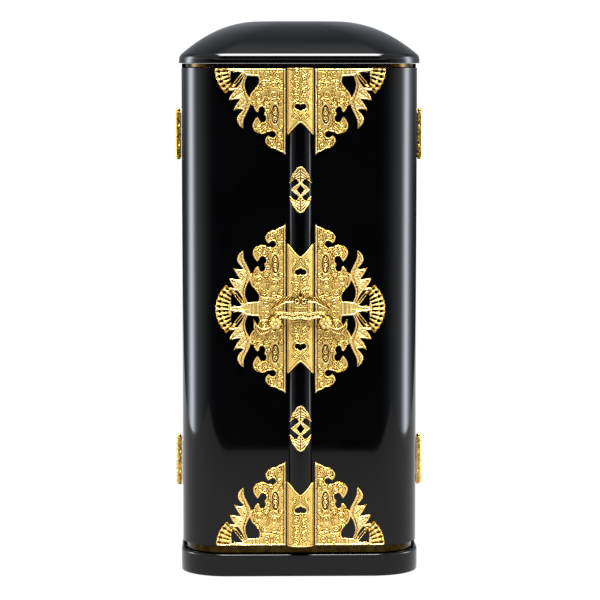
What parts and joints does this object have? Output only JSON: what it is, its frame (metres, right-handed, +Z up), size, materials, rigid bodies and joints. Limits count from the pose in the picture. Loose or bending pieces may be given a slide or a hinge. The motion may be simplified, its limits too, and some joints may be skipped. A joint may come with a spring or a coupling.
{
  "type": "portable shrine",
  "caption": "Upright black-lacquered cabinet shrine with a domed roof, curved double doors, pierced gold plates and a swinging latch.",
  "frame": {"origin": "centre of the base's underside", "axes": "+Z up, front towards -Y, +X to the right seen from the front"},
  "size_m": [0.0732, 0.0659, 0.162],
  "materials": {
    "lacquer": "mirror-gloss black lacquer on wood",
    "gold_leaf": "gold-leafed wood",
    "gilt_metal": "gilt, engraved metal"
  },
  "bodies": {
    "cabinet": {"back_panel": "lacquer", "base": "lacquer", "ceiling_board": "gold_leaf", "floor_board": "gold_leaf", "left_lower_hinge_fixed_leaf": "gilt_metal", "left_lower_hinge_pin": "gilt_metal", "left_side_wall": "lacquer", "left_upper_hinge_fixed_leaf": "gilt_metal", "left_upper_hinge_pin": "gilt_metal", "right_lower_hinge_fixed_leaf": "gilt_metal", "right_lower_hinge_pin": "gilt_metal", "right_side_wall": "lacquer", "right_upper_hinge_fixed_leaf": "gilt_metal", "right_upper_hinge_pin": "gilt_metal", "roof": "lacquer"},
    "left_door": {"left_bottom_plate": "gilt_metal", "left_door": "lacquer", "left_lower_hinge_moving_leaf": "gilt_metal", "left_middle_plate": "gilt_metal", "left_pull": "gilt_metal", "left_rosette": "gilt_metal", "left_top_plate": "gilt_metal", "left_upper_hinge_moving_leaf": "gilt_metal"},
    "right_door": {"batten": "lacquer", "bottom_cap": "gilt_metal", "lower_lozenge": "gilt_metal", "middle_cap": "gilt_metal", "right_bottom_plate": "gilt_metal", "right_door": "lacquer", "right_lower_hinge_moving_leaf": "gilt_metal", "right_middle_plate": "gilt_metal", "right_pull": "gilt_metal", "right_rosette": "gilt_metal", "right_top_plate": "gilt_metal", "right_upper_hinge_moving_leaf": "gilt_metal", "top_cap": "gilt_metal", "upper_lozenge": "gilt_metal"},
    "latch": {"latch": "gilt_metal"}
  },
  "joints": [
    {"name": "right_door_hinge", "type": "hinge", "parent": "cabinet", "child": "right_door", "pos_m": [0.0357, -0.012, 0.0787], "axis": [0, 0, 1], "range_deg": [0, 120]},
    {"name": "left_door_hinge", "type": "hinge", "parent": "cabinet", "child": "left_door", "pos_m": [-0.0357, -0.012, 0.0787], "axis": [0, 0, 1], "range_deg": [-120, 0]},
    {"name": "latch_pivot", "type": "hinge", "parent": "right_door", "child": "latch", "pos_m": [0.00725, -0.0333, 0.07465], "axis": [0, 1, 0], "range_deg": [0, 90]}
  ],
  "couplings": [
    {"joint": "left_door_hinge", "follows": "right_door_hinge", "ratio": -1}
  ]
}
